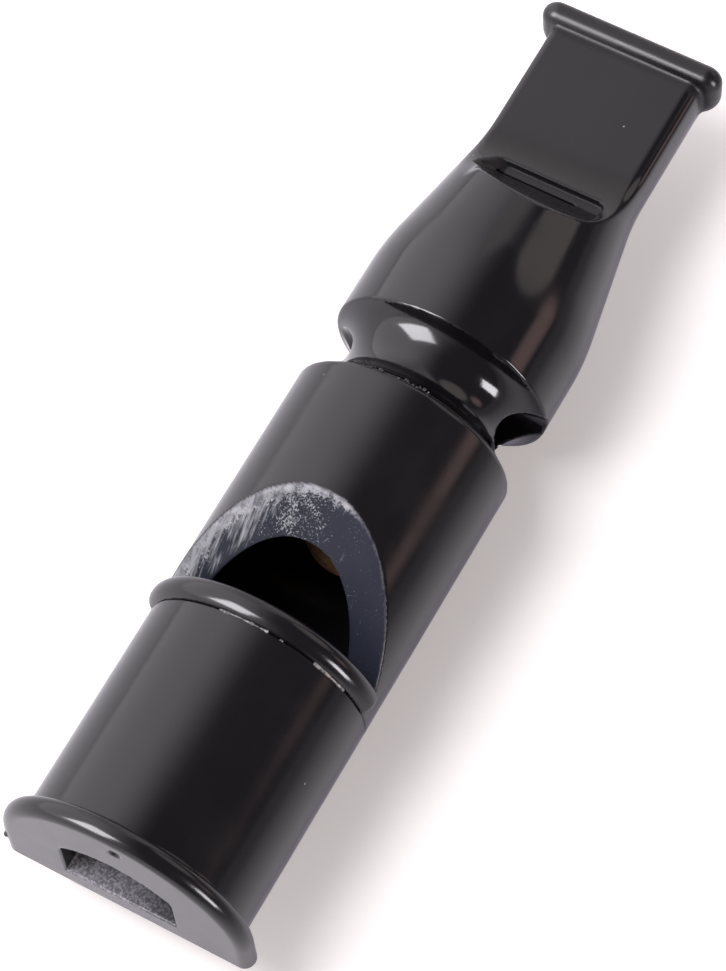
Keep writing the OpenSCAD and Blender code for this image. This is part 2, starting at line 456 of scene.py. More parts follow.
def tone_radius(x):
    """Radius of the round tone body at a station, blended where it starts and ends to narrow."""
    fall = (TUBE_R - BEAK_R) / (BEAK_X - TAPER_X)
    r = soft_least(TUBE_R - (x - TAPER_X) * fall, TUBE_R, TAPER_BLEND)
    return -soft_least(-r, -BEAK_R, TAPER_BLEND)


def shoulder_plane(x, y, z):
    """The steep face behind the crest, which twists a little from side to side."""
    return slope(x, z, SHOULDER_X, BEAK_Z, SHOULDER_ANGLE + SHOULDER_TWIST * y)


def belly_plane(x, z):
    """The slope under the body that leads to the beak."""
    angle = math.atan2(TUBE_R - BEAK_Z, BELLY_END_X - BELLY_X)
    return slope(x, -z, BELLY_END_X, BEAK_Z, angle)


def tone_outside_field(x, y, z):
    """The round body cut to the flat beak, without its lip and hollows."""
    turned = (radius(y, z) - tone_radius(x)) * TAPER_COS
    top = join(shoulder_plane(x, y, z), z - BEAK_Z, SHOULDER_HOLLOW_R)
    under = join(belly_plane(x, z), -z - BEAK_Z, BELLY_HOLLOW_R)
    crest_r = CREST_R + (LEFT_CREST_R - CREST_R) * step_up(y, *LEFT_CREST_Y)
    beak_edge_r = np.where(y > 0, LEFT_BEAK_EDGE_R, BEAK_EDGE_R)
    edge_r = crest_r + (beak_edge_r - crest_r) * step_up(x, *CREST_END_X)
    solid = keep(turned, top, edge_r)
    solid = keep(solid, under, BEAK_EDGE_R)
    solid = np.maximum(solid, x - LIP_X - LIP_R)
    return np.maximum(solid, BARREL_END_X + NECK_L - x)


def neck_field(x, y, z):
    """The hollow neck with the plug that goes into the barrel."""
    rad = radius(y, z)
    middle = BARREL_END_X + NECK_L / 2
    limit = np.where(x < middle, TUBE_R - NECK_STEP, TUBE_R)
    ring = keep(rad - limit, BARREL_END_X - x, NECK_EDGE_R)
    ring = np.maximum(ring, x - BARREL_END_X - NECK_L - 0.5)
    groove = np.hypot(rad - GROOVE_RING_R, x - middle) - GROOVE_R
    plug_r = mm(sizes().bore_d) / 2 - PLUG_GAP
    plug = np.maximum(keep(rad - plug_r, PLUG_X - x, PLUG_EDGE_R), x - middle)
    return np.minimum(ring, plug), groove


def beak_lip_field(x, y, z):
    """The plate with a round edge at the end of the beak."""
    corner_r = np.where(z > 0.5, LIP_TOP_CORNER_R, LIP_BOTTOM_CORNER_R)
    across = keep(np.abs(y) - LIP_HALF_W, np.maximum(z - LIP_TOP_Z, LIP_BOTTOM_Z - z), corner_r)
    return round_edged_plate(across, x - LIP_X - LIP_R, LIP_R)


def tone_window_field(x, y, z):
    """The shallow recess at the foot of the shoulder, and the slit of the tone window at its near side."""
    across = y - RECESS_Y
    corner_r = np.where(across < 0, *RECESS_CORNERS_R)
    far_wall = (x - RECESS_X) * math.cos(RECESS_LEAN) - (z - RECESS_Z) * math.sin(RECESS_LEAN)
    left_wall = (across - RECESS_W / 2 + LEFT_WALL_IN) * math.cos(LEFT_WALL_LEAN)
    left_wall = left_wall - (z - RECESS_Z) * math.sin(LEFT_WALL_LEAN)
    recess = keep(far_wall, np.maximum(left_wall, -across - RECESS_W / 2), corner_r)
    recess = np.maximum(np.maximum(recess, RECESS_Z - z), -shoulder_plane(x, y, z))
    slit = np.abs(x - TONE_WINDOW_X + TONE_WINDOW_L / 2) - TONE_WINDOW_L / 2
    slit = np.maximum(slit, np.abs(y - TONE_WINDOW_Y) - TONE_WINDOW_W / 2)
    slit = np.maximum(slit, np.maximum(CEILING_Z - z, z - RECESS_Z - TONE_WINDOW_RISE))
    return np.minimum(recess, slit)


def tone_hollow_field(x, y, z):
    """The chamber and the windway that leads to it."""
    wall = TUBE_R - CHAMBER_R
    chamber = np.maximum(radius(y, z) - (tone_radius(x) - wall), CHAMBER_X - x)
    chamber = np.maximum(chamber, x - TONE_WINDOW_X)
    chamber = np.maximum(chamber, belly_plane(x, z) + wall)
    ceiling = slope(x, z, CEILING_X, CEILING_Z, CEILING_ANGLE)
    chamber = np.maximum(chamber, np.minimum(ceiling, z - CEILING_Z))
    windway = np.maximum(np.abs(y) - WINDWAY_W / 2, np.maximum(z - ROOF_Z, BLOCK_FLOOR_Z - z))
    return np.minimum(chamber, np.maximum(windway, CEILING_X - x))


def cord_hole_field(x, y, z):
    """The cord hole through the neck, which slants ahead and down towards the right."""
    share = np.clip(0.5 - y / CORD_HOLE_SPAN, 0, 1)
    middle = BARREL_END_X + NECK_L / 2
    return np.hypot(x - middle - CORD_HOLE_AHEAD * share, z - CORD_HOLE_Z * share) - CORD_HOLE_R


def tone_body_field(x, y, z):
    s = sizes()
    edge = mm(s.edge_r)
    neck, groove = neck_field(x, y, z)
    solid = np.minimum(tone_outside_field(x, y, z), neck)
    fillet = 0.02 + mm(s.lip_fillet) * (1 - step_up(x, LIP_X + 0.5 * LIP_R, LIP_X + 1.2 * LIP_R))
    solid = join(solid, beak_lip_field(x, y, z), fillet)
    solid = take(solid, groove, 0.8 * edge)
    solid = join(solid, ball(x, y, z, TONE_NUB, TONE_NUB_R), NUB_FILLET)
    solid = take(solid, tone_window_field(x, y, z), RECESS_EDGE_R)
    solid = take(solid, tone_hollow_field(x, y, z), 0.4 * edge)
    return take(solid, cord_hole_field(x, y, z), CORD_HOLE_EDGE_R)


# Cork pea

PEA_GAP = 0.25
PEA_SKIN = 0.05
PEA_PITS = 90
PEA_PIT_SEED = 7
PEA_PIT_R = (0.14, 0.42)
PEA_PIT_DEPTH = (0.5, 1.0)
PEA_PIT_EDGE_R = 0.05


def pea_pits():
    """Places and sizes of the pores in the cork, the same on every run."""
    rng = np.random.default_rng(PEA_PIT_SEED)
    way = rng.normal(size=(PEA_PITS, 3))
    way /= np.linalg.norm(way, axis=1, keepdims=True)
    return way, rng.uniform(*PEA_PIT_R, PEA_PITS), rng.uniform(*PEA_PIT_DEPTH, PEA_PITS)


def pea_centre():
    r = mm(sizes().pea_d) / 2
    bore_r = mm(sizes().bore_d) / 2
    return PLUG_X - PEA_GAP - r, 0.0, r + PEA_GAP - bore_r


def pea_field(x, y, z):
    r = mm(sizes().pea_d) / 2
    centre = np.array(pea_centre())
    solid = ball(x, y, z, centre, r - PEA_SKIN)
    for way, size, depth in zip(*pea_pits()):
        pit = ball(x, y, z, centre + way * (r + size * (1 - depth)), size)
        solid = take(solid, pit, PEA_PIT_EDGE_R)
    return solid


# Shader node groups and materials

def socketed_tree(kind, name, inputs, outputs):
    """An empty node group with its sockets; returns the tree and its two end nodes."""
    tree = bpy.data.node_groups.new(name, kind)
    for label, socket_kind, default in inputs:
        socket = tree.interface.new_socket(name=label, in_out="INPUT", socket_type=socket_kind)
        if default is not None:
            socket.default_value = default
    for label, socket_kind in outputs:
        tree.interface.new_socket(name=label, in_out="OUTPUT", socket_type=socket_kind)
    return tree, tree.nodes.new("NodeGroupInput"), tree.nodes.new("NodeGroupOutput")


def feed(tree, value, socket):
    """Gives a socket its value: a link from another socket, or a constant."""
    if hasattr(value, "is_linked"):
        tree.links.new(value, socket)
    else:
        socket.default_value = value


def noise(tree, vector, scale, detail=2.0, rough=0.5):
    node = tree.nodes.new("ShaderNodeTexNoise")
    for label, value in (("Vector", vector), ("Scale", scale), ("Detail", detail), ("Roughness", rough)):
        feed(tree, value, node.inputs[label])
    return node.outputs["Fac"]


def random_cells(tree, vector, scale):
    """Cells round scattered points: a random number for each, and the distance from its point."""
    node = tree.nodes.new("ShaderNodeTexVoronoi")
    feed(tree, vector, node.inputs["Vector"])
    feed(tree, scale, node.inputs["Scale"])
    pick = tree.nodes.new("ShaderNodeSeparateColor")
    tree.links.new(node.outputs["Color"], pick.inputs["Color"])
    return pick.outputs["Red"], node.outputs["Distance"]


def maths(tree, operation, a, b, clamp=False):
    node = tree.nodes.new("ShaderNodeMath")
    node.operation = operation
    node.use_clamp = clamp
    feed(tree, a, node.inputs[0])
    feed(tree, b, node.inputs[1])
    return node.outputs[0]


def product(tree, a, b):
    return maths(tree, "MULTIPLY", a, b)


def plus(tree, base, added, share, clamp=False):
    """A value with a share of another added to it."""
    return maths(tree, "ADD", base, product(tree, added, share), clamp)


def ramped(tree, value, low, high, to_low=0.0, to_high=1.0):
    """A smooth rise of the value from one number to another."""
    node = tree.nodes.new("ShaderNodeMapRange")
    node.interpolation_type = "SMOOTHSTEP"
    tree.links.new(value, node.inputs["Value"])
    for label, number in (("From Min", low), ("From Max", high), ("To Min", to_low), ("To Max", to_high)):
        node.inputs[label].default_value = number
    return node.outputs["Result"]


def mixed(tree, mask, a, b):
    """One colour where the mask is 0 and another where it is 1."""
    node = tree.nodes.new("ShaderNodeMix")
    node.data_type = "RGBA"
    tree.links.new(mask, node.inputs["Factor"])
    for label, value in (("A", a), ("B", b)):
        socket = next(s for s in node.inputs if s.name == label and s.type == "RGBA")
        feed(tree, value if hasattr(value, "is_linked") else (*value, 1.0), socket)
    return next(s for s in node.outputs if s.type == "RGBA")


def stretched(tree, vector, scale, turn=(0, 0, 0)):
    node = tree.nodes.new("ShaderNodeMapping")
    node.inputs["Scale"].default_value = scale
    node.inputs["Rotation"].default_value = turn
    tree.links.new(vector, node.inputs["Vector"])
    return node.outputs["Vector"]


def moulded_skin_group():
    """Flow marks, fine grain, handling smudges and dust grains of a moulded plastic skin."""
    tree, given, result = socketed_tree(
        "ShaderNodeTree", "moulded_skin",
        [("Place", "NodeSocketVector", None), ("Grain size", "NodeSocketFloat", 3200.0),
         ("Dust share", "NodeSocketFloat", 0.004)],
        [("Tone", "NodeSocketFloat"), ("Smudge", "NodeSocketFloat"), ("Dust", "NodeSocketFloat"),
         ("Height", "NodeSocketFloat")])
    place = given.outputs["Place"]
    flow = noise(tree, stretched(tree, place, (60, 220, 220)), 1.0, 3.0)
    grain = noise(tree, place, given.outputs["Grain size"], 1.0)
    wave = noise(tree, place, 240.0, 1.0)
    cloud = noise(tree, place, 110.0, 4.0, 0.6)
    hair = noise(tree, stretched(tree, place, (150, 5200, 5200), (0.1, 0.25, 0.5)), 1.0, 0.0)
    hair = ramped(tree, hair, 0.74, 0.80)
    pick, distance = random_cells(tree, place, 1300.0)
    rare = maths(tree, "LESS_THAN", pick, given.outputs["Dust share"])
    dust = product(tree, rare, ramped(tree, distance, 0.16, 0.06))
    height = plus(tree, wave, grain, 0.25)
    height = plus(tree, height, dust, 1.2)
    height = plus(tree, height, hair, -0.12)
    smudge = plus(tree, ramped(tree, cloud, 0.42, 0.68), hair, 0.5, True)
    for label, value in (("Tone", flow), ("Smudge", smudge), ("Dust", dust), ("Height", height)):
        tree.links.new(value, result.inputs[label])
    return tree


def axis_distance(tree, place):
    """Distance of a place from the whistle's axis, in millimetres."""
    flat = tree.nodes.new("ShaderNodeVectorMath")
    flat.operation = "MULTIPLY_ADD"
    tree.links.new(place, flat.inputs[0])
    flat.inputs[1].default_value = (0.0, 1 / MM, 1 / MM)
    flat.inputs[2].default_value = (0.0, 0.0, -AXIS_Z)
    length = tree.nodes.new("ShaderNodeVectorMath")
    length.operation = "LENGTH"
    tree.links.new(flat.outputs["Vector"], length.inputs[0])
    return length.outputs["Value"]


def sawn_face_group():
    """White scratches and torn grains on a face that was cut after moulding, and a pale band along its
    outer rim that is partly bruising of the plastic and partly a painted highlight of the rounded edge.
    """
    tree, given, result = socketed_tree(
        "ShaderNodeTree", "sawn_face",
        [("Place", "NodeSocketVector", None), ("Mask", "NodeSocketFloat", 0.0),
         ("Scratch share", "NodeSocketFloat", 0.5), ("Grain share", "NodeSocketFloat", 0.5),
         ("Rim width", "NodeSocketFloat", 0.3)],
        [("White", "NodeSocketFloat"), ("Height", "NodeSocketFloat")])
    place = given.outputs["Place"]
    streak = noise(tree, stretched(tree, place, (420, 4200, 420)), 1.0, 4.0, 0.65)
    patch = noise(tree, stretched(tree, place, (300, 800, 300)), 1.0, 3.0)
    scratch = plus(tree, product(tree, streak, 0.7), patch, 0.6)
    scratch = plus(tree, scratch, given.outputs["Scratch share"], 0.4)
    scratch = ramped(tree, scratch, 0.84, 1.10, 0.0, 0.8)
    torn = plus(tree, noise(tree, place, 6200.0, 2.0, 0.6), noise(tree, place, 800.0, 2.0), 0.4)
    torn = plus(tree, torn, given.outputs["Grain share"], 0.22)
    grain = ramped(tree, torn, 0.88, 1.06, 0.0, 0.8)
    # Pale band along the outer rim: partly bruising of the plastic, partly a painted highlight where the
    # rounded edge catches the light; this noise makes its width uneven
    rim_spread = ramped(tree, noise(tree, place, 2400.0, 4.0, 0.7), 0.30, 0.70, 0.4, 1.6)
    inside = maths(tree, "SUBTRACT", TUBE_R, axis_distance(tree, place))
    depth = maths(tree, "SUBTRACT", product(tree, rim_spread, given.outputs["Rim width"]), inside)
    rim = ramped(tree, depth, -0.06, 0.12)
    rim = product(tree, rim, ramped(tree, given.outputs["Rim width"], 0.08, 0.3, 0.35, 1.0))
    gaps = noise(tree, place, 900.0, 3.0, 0.7)
    rim = product(tree, rim, ramped(tree, gaps, 0.36, 0.60, 0.3, 1.0))
    white = maths(tree, "MAXIMUM", maths(tree, "MAXIMUM", scratch, grain), rim)
    white = product(tree, white, given.outputs["Mask"])
    height = product(tree, plus(tree, grain, scratch, 0.5), given.outputs["Mask"])
    for label, value in (("White", white), ("Height", height)):
        tree.links.new(value, result.inputs[label])
    return tree


def group_node(tree, name, build):
    node = tree.nodes.new("ShaderNodeGroup")
    node.node_tree = bpy.data.node_groups.get(name) or build()
    return node


def attribute(tree, name):
    node = tree.nodes.new("ShaderNodeAttribute")
    node.attribute_name = name
    return node.outputs["Fac"]


def bumped(tree, shader, height, strength, distance):
    node = tree.nodes.new("ShaderNodeBump")
    node.inputs["Strength"].default_value = strength
    node.inputs["Distance"].default_value = distance
    tree.links.new(height, node.inputs["Height"])
    tree.links.new(node.outputs["Normal"], shader.inputs["Normal"])


def new_material(name):
    material = bpy.data.materials.new(name)
    material.use_nodes = True
    tree = material.node_tree
    shader = next(n for n in tree.nodes if n.type == "BSDF_PRINCIPLED")
    place = tree.nodes.new("ShaderNodeTexCoord").outputs["Object"]
    return material, tree, shader, place


def shaded(values, factor):
    """A colour made darker or lighter by a factor."""
    return [factor * v for v in values]


def black_plastic(name, gloss, sawn=False, hollow=None):
    """Glossy black moulded plastic, with a cut face if sawn, and two tones in its hollows if given."""
    c = colours()
    material, tree, shader, place = new_material(name)
    coat = group_node(tree, "moulded_skin", moulded_skin_group)
    tree.links.new(place, coat.inputs["Place"])
    tone = ramped(tree, coat.outputs["Tone"], 0.3, 0.7)
    colour = mixed(tree, tone, c.plastic, shaded(c.plastic, 1.5))
    colour = mixed(tree, coat.outputs["Dust"], colour, c.dust)
    rough = ramped(tree, coat.outputs["Smudge"], 0.0, 1.0, gloss, gloss + 0.07)
    rough = plus(tree, rough, coat.outputs["Dust"], 0.5)
    rough = maths(tree, "ADD", rough, attribute(tree, "dull"))
    height = coat.outputs["Height"]
    if sawn:
        cut = group_node(tree, "sawn_face", sawn_face_group)
        mask = attribute(tree, "cut_face")
        tree.links.new(place, cut.inputs["Place"])
        tree.links.new(mask, cut.inputs["Mask"])
        shares = (("scratched", "Scratch share"), ("grained", "Grain share"), ("rim_bruise_and_highlight", "Rim width"))
        for mark, label in shares:
            tree.links.new(attribute(tree, mark), cut.inputs[label])
        white = cut.outputs["White"]
        colour = mixed(tree, mask, colour, c.cut_face)
        # The pale colour covers real scratches and grains, and the painted highlight along the rim
        colour = mixed(tree, white, colour, c.scuff_and_rim_highlight)
        rough = plus(tree, rough, mask, 0.75)
        rough = plus(tree, rough, white, 0.3, True)
        height = plus(tree, height, cut.outputs["Height"], 2.5)
    if hollow:
        mask = attribute(tree, "rough_hollow")
        pebble = noise(tree, place, 4700.0, 2.0, 0.6)
        colour = mixed(tree, mask, colour, mixed(tree, ramped(tree, pebble, 0.40, 0.66), *hollow))
        rough = plus(tree, rough, mask, 0.35, True)
        relief = 40.0 * (max(hollow[1]) - max(hollow[0]))
        height = plus(tree, height, product(tree, pebble, mask), relief)
    tree.links.new(colour, shader.inputs["Base Color"])
    tree.links.new(rough, shader.inputs["Roughness"])
    bumped(tree, shader, height, 1.0, 0.000005)
    return material


def grainy_plastic(name):
    """Matt black plastic of the windway blocks, with a granular spark-eroded finish."""
    c = colours()
    material, tree, shader, place = new_material(name)
    pebble = noise(tree, place, 5200.0, 3.0, 0.6)
    worn = ramped(tree, plus(tree, pebble, noise(tree, place, 700.0, 2.0), 0.4), 0.62, 0.85)
    tree.links.new(mixed(tree, worn, c.plastic, c.plastic_worn), shader.inputs["Base Color"])
    tree.links.new(ramped(tree, pebble, 0.3, 0.7, 0.55, 0.3), shader.inputs["Roughness"])
    bumped(tree, shader, pebble, 0.9, 0.0001)
    return material


def cork(name):
    """Cork with dark pores, a granular tone and rough bump."""
    c = colours()
    material, tree, shader, place = new_material(name)
    grain = random_cells(tree, place, 900.0)[0]
    fleck = noise(tree, stretched(tree, place, (900, 2600, 900)), 1.0, 5.0, 0.65)
    tone = plus(tree, product(tree, grain, 0.35), fleck, 0.65)
    colour = mixed(tree, ramped(tree, tone, 0.25, 0.8), shaded(c.cork, 0.6), c.cork)
    pore = ramped(tree, fleck, 0.38, 0.28)
    colour = mixed(tree, pore, colour, c.cork_dark)
    colour = mixed(tree, attribute(tree, "pitted"), colour, c.cork_dark)
    tree.links.new(colour, shader.inputs["Base Color"])
    tree.links.new(ramped(tree, fleck, 0.2, 0.8, 0.85, 0.6), shader.inputs["Roughness"])
    bumped(tree, shader, maths(tree, "SUBTRACT", fleck, pore), 0.6, 0.0002)
    return material


def dried_glue(name, pale_from):
    """Dull grey-white crumbs of glue and flash, paler where the noise is above the given value."""
    c = colours()
    material, tree, shader, place = new_material(name)
    fleck = noise(tree, place, 3000.0, 3.0)
    pale = ramped(tree, fleck, pale_from, pale_from + 0.3)
    tree.links.new(mixed(tree, pale, c.plastic_worn, c.dust), shader.inputs["Base Color"])
    tree.links.new(ramped(tree, fleck, 0.3, 0.7, 0.55, 0.25), shader.inputs["Roughness"])
    bumped(tree, shader, fleck, 0.5, 0.0001)
    return material


# Geometry Nodes for what repeats or follows the seam

def wire_arcs(name, x, ring_r, arcs, spacing=0.05):
    """Lines of points on arcs round the axis, as one mesh of edges in the CAD frame."""
    points, edges = [], []
    for start, stop in arcs:
        angle = np.arange(math.radians(start), math.radians(stop), spacing / ring_r)
        first = len(points)
        points += [(x, ring_r * math.cos(a), ring_r * math.sin(a)) for a in angle]
        edges += [(i, i + 1) for i in range(first, len(points) - 1)]
    mesh = bpy.data.meshes.new(name)
    mesh.from_pydata(to_frame(points).tolist(), edges, [])
    piece = bpy.data.objects.new(name, mesh)
    bpy.context.scene.collection.objects.link(piece)
    return piece


def geometry_tree(name, inputs):
    geometry = ("Geometry", "NodeSocketGeometry")
    return socketed_tree("GeometryNodeTree", name, [(*geometry, None), *inputs], [geometry])


def finish_tree(tree, geometry, result, material):
    realize = tree.nodes.new("GeometryNodeRealizeInstances")
    paint = tree.nodes.new("GeometryNodeSetMaterial")
    paint.inputs["Material"].default_value = material
    tree.links.new(geometry, realize.inputs["Geometry"])
    tree.links.new(realize.outputs["Geometry"], paint.inputs["Geometry"])
    tree.links.new(paint.outputs["Geometry"], result.inputs["Geometry"])


def seam_flash_tree(material):
    """A burr of uneven thickness along a line."""
    tree, given, result = geometry_tree("seam_flash", [
        ("Thickness", "NodeSocketFloat", 0.0001), ("Unevenness", "NodeSocketFloat", 900.0)])
    line = tree.nodes.new("GeometryNodeMeshToCurve")
    uneven = tree.nodes.new("ShaderNodeTexNoise")
    uneven.inputs["Detail"].default_value = 3.0
    tree.links.new(given.outputs["Unevenness"], uneven.inputs["Scale"])
    spread = tree.nodes.new("ShaderNodeMapRange")
    for label, number in (("From Min", 0.36), ("From Max", 0.60), ("To Min", 0.10), ("To Max", 1.0)):
        spread.inputs[label].default_value = number
    tree.links.new(uneven.outputs["Fac"], spread.inputs["Value"])
    thick = product(tree, spread.outputs["Result"], given.outputs["Thickness"])
    profile = tree.nodes.new("GeometryNodeCurvePrimitiveCircle")
    profile.inputs["Resolution"].default_value = 6
    profile.inputs["Radius"].default_value = 1.0
    sweep = tree.nodes.new("GeometryNodeCurveToMesh")
    sweep.inputs["Fill Caps"].default_value = True
    tree.links.new(given.outputs["Geometry"], line.inputs["Mesh"])
    tree.links.new(line.outputs["Curve"], sweep.inputs["Curve"])
    tree.links.new(profile.outputs["Curve"], sweep.inputs["Profile Curve"])
    tree.links.new(thick, sweep.inputs["Scale"])
    finish_tree(tree, sweep.outputs["Mesh"], result, material)
    return tree


def glue_speck_tree(material):
    """Crumbs of random size and turn, scattered along a line."""
    tree, given, result = geometry_tree("glue_specks", [
        ("Count", "NodeSocketInt", 40), ("Smallest", "NodeSocketFloat", 0.00004),
        ("Largest", "NodeSocketFloat", 0.00016), ("Spread", "NodeSocketFloat", 0.0002),
        ("Seed", "NodeSocketInt", 3)])
    line = tree.nodes.new("GeometryNodeMeshToCurve")
    spaced = tree.nodes.new("GeometryNodeResampleCurve")
    tree.links.new(given.outputs["Geometry"], line.inputs["Mesh"])
    tree.links.new(line.outputs["Curve"], spaced.inputs["Curve"])
    tree.links.new(given.outputs["Count"], spaced.inputs["Count"])

    def random(kind, low, high, seed_shift):
        node = tree.nodes.new("FunctionNodeRandomValue")
        node.data_type = kind
        seed = maths(tree, "ADD", given.outputs["Seed"], seed_shift)
        for label, value in (("Min", low), ("Max", high), ("Seed", seed)):
            feed(tree, value, next(s for s in node.inputs if s.enabled and s.name == label))
        return next(s for s in node.outputs if s.enabled)

    stray = random("FLOAT_VECTOR", (-1, -1, -1), (1, 1, 1), 1)
    scaled = tree.nodes.new("ShaderNodeVectorMath")
    scaled.operation = "SCALE"
    tree.links.new(stray, scaled.inputs[0])
    tree.links.new(given.outputs["Spread"], scaled.inputs["Scale"])
    moved = tree.nodes.new("GeometryNodeSetPosition")
    tree.links.new(spaced.outputs["Curve"], moved.inputs["Geometry"])
    tree.links.new(scaled.outputs["Vector"], moved.inputs["Offset"])
    crumb = tree.nodes.new("GeometryNodeMeshIcoSphere")
    crumb.inputs["Radius"].default_value = 1.0
    crumb.inputs["Subdivisions"].default_value = 2
    put = tree.nodes.new("GeometryNodeInstanceOnPoints")
    tree.links.new(moved.outputs["Geometry"], put.inputs["Points"])
    tree.links.new(crumb.outputs["Mesh"], put.inputs["Instance"])
    tree.links.new(random("FLOAT_VECTOR", (0, 0, 0), (6.28, 6.28, 6.28), 2), put.inputs["Rotation"])
    size = random("FLOAT", given.outputs["Smallest"], given.outputs["Largest"], 3)
    tree.links.new(size, put.inputs["Scale"])
    finish_tree(tree, put.outputs["Instances"], result, material)
    return tree


def grown(carrier, tree, values):
    """Runs a tree on a carrier with its values and leaves the carrier as the plain mesh it made."""
    modifier = carrier.modifiers.new(tree.name, "NODES")
    modifier.node_group = tree
    for item in tree.interface.items_tree:
        if item.item_type == "SOCKET" and item.in_out == "INPUT" and item.name in values:
            modifier[item.identifier] = values[item.name]
    bpy.context.view_layer.update()
    depsgraph = bpy.context.evaluated_depsgraph_get()
    made = bpy.data.meshes.new_from_object(carrier.evaluated_get(depsgraph), depsgraph=depsgraph)
    carrier.modifiers.remove(modifier)
    made.name = carrier.name
    carrier.data = made
    if not made.polygons:
        raise RuntimeError(f"{carrier.name} came out empty")
    return carrier


# Stretches of the seam and of the gap at the neck that hold flash and glue, in degrees from +Y
FLASH_ARCS = ((75, 101), (107, 109), (126, 147))
FLASH_BACK = 0.03
FLASH_PALE_FROM = 0.35
GLUE_ARCS = ((70, 106),)
GLUE_AHEAD = 0.05
GLUE_SINK = 0.02
GLUE_PALE_FROM = 0.55

# How glossy each moulding is, as a roughness, and the size of its faces against the mesh step
MOUTH_ROUGHNESS, MOUTH_STEP = 0.155, 0.9
BARREL_ROUGHNESS = 0.17
TONE_ROUGHNESS, TONE_STEP = 0.11, 1.13
PEA_STEP = 0.16

# Rough floor of the inlet, painted pale partly for its granular finish and partly as painted light where
# it catches light from the front, paler at the left, and the bruised strip under its mouth
INLET_PIT_SHADE = 0.34
INLET_FADE = 0.55
INLET_FADE_Y = (-0.5, 4.0)
STRIP_SHARE = 0.3

# Where the sawn face is scratched and grained, and where its rim band of bruising and painted highlight
# lies, in millimetres across, along and out from the axis
CUT_START_X = SEAM_X + 2.0
SCRATCH_Y = (1.0, 5.5)
SCRATCH_INNER_R, SCRATCH_LEFT_R, SCRATCH_TURN_Y = 7.8, 6.9, (3.0, 5.0)
CROWN_Y, CROWN_HALF_W, CROWN_X = 1.8, 2.7, (28.6, 31.5)
GRAINED_LEFT_Y, GRAINED_LEFT_R = (5.0, 7.5), (8.0, 8.8)
RIM_BRUISE_AND_HIGHLIGHT_RIGHT_Y, RIM_BRUISE_AND_HIGHLIGHT_LEFT_Y = (-4.0, -1.0), (0.5, 4.0)

# How much rougher the lip, the corner in front of it and the pocket of the tone window are
LIP_DULL, CORNER_DULL, POCKET_DULL = 0.13, 0.19, 0.2
LIP_DULL_X = (LIP_X - 1.2, LIP_X - 0.4)
CORNER_DULL_X = (LIP_X - 1.2, LIP_X - 0.7)
CORNER_END_X = (LIP_X - 0.2, LIP_X + 0.1)
POCKET_TOP_Z = (3.7, 4.4)
SLOT_SHARE = 0.35
SLOT_PEAK_SHADE = 1.4


def settle(piece, body, slot, *nodes):
    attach(piece, body)
    if nodes:
        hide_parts(*nodes)


class WHISTLE_OT_pea_mouthpiece(bpy.types.Operator):
    """Make the mouthpiece of the pea end with its round lip and inlet"""

    bl_idname = "whistle.pea_mouthpiece"
    bl_label = "Pea mouthpiece"

    def execute(self, context):
        reach = MOUTH_LIP_RING_R + MOUTH_LIP_R + NUB_R
        drop = mm(sizes().mouth_drop)

        def rough_hollow(x, y, z):
            beside = np.abs(y - INLET_Y) - mm(sizes().inlet_w) / 2
            floor = step_up(-np.abs(z - MOUTH_FLOOR_Z), -0.3, -0.15) * step_up(-beside, -0.1, 0.1)
            floor = floor * (1 - INLET_FADE * step_up(-y, *INLET_FADE_Y))
            strip = step_up(MOUTH_FLOOR_Z - z, 0.1, 0.5) * step_up(-x, -0.3, 0.1)
            strip = strip * step_up(-beside, -1.5, 0.5)
            return np.maximum(floor, STRIP_SHARE * strip)

        # The inlet floor's pale peaks are partly painted light
        peaks = colours().granular
        pits = shaded(peaks, INLET_PIT_SHADE)
        piece = moulding(
            "mouthpiece_skin", mouthpiece_field, (MOUTH_FACE_X, -reach, -drop), (SEAM_X, reach, reach),
            black_plastic("mouthpiece_plastic", MOUTH_ROUGHNESS, hollow=(pits, peaks)),
            step=MOUTH_STEP * mm(sizes().mesh_step),
            marks={"rough_hollow": rough_hollow})
        settle(piece, BODY, PLASTIC_SLOT, "pea_mouthpiece")
        return {"FINISHED"}


class WHISTLE_OT_pea_barrel(bpy.types.Operator):
    """Make the barrel with its half ring and the sound window with its sawn face"""

    bl_idname = "whistle.pea_barrel"
    bl_label = "Pea barrel"

    def execute(self, context):
        def cut_face(x, y, z):
            on_plane = step_up(-np.abs(window_plane(x, z)), -0.12, -0.05)
            return on_plane * (radius(y, z) > mm(sizes().bore_d) / 2 - BORE_END_R) * (x > CUT_START_X)

        def scratched(x, y, z):
            inner = SCRATCH_INNER_R + (SCRATCH_LEFT_R - SCRATCH_INNER_R) * step_up(y, *SCRATCH_TURN_Y)
            return 0.62 * step_up(y, *SCRATCH_Y) * step_up(radius(y, z) - inner, 0.0, 1.2) + 0.12

        def grained(x, y, z):
            crown = 0.95 * np.exp(-((y - CROWN_Y) / CROWN_HALF_W) ** 2) * step_up(x, *CROWN_X)
            left = 0.75 * step_up(y, *GRAINED_LEFT_Y) * step_up(radius(y, z), *GRAINED_LEFT_R)
            return np.maximum(crown, left)

        # Width of the pale rim band, partly bruising and partly painted highlight: narrow on the right,
        # wider to the left
        def rim_bruise_and_highlight(x, y, z):
            return 0.1 + 0.25 * step_up(y, *RIM_BRUISE_AND_HIGHLIGHT_RIGHT_Y) + 0.4 * step_up(y, *RIM_BRUISE_AND_HIGHLIGHT_LEFT_Y)

        reach = TUBE_R + RIB_H
        piece = moulding(
            "barrel_skin", barrel_field, (SEAM_X, -reach, -reach), (BARREL_END_X, reach, reach),
            black_plastic("barrel_plastic", BARREL_ROUGHNESS, sawn=True),
            marks={"cut_face": cut_face, "scratched": scratched, "grained": grained, "rim_bruise_and_highlight": rim_bruise_and_highlight})
        settle(piece, BODY, PLASTIC_SLOT, "pea_barrel")
        return {"FINISHED"}


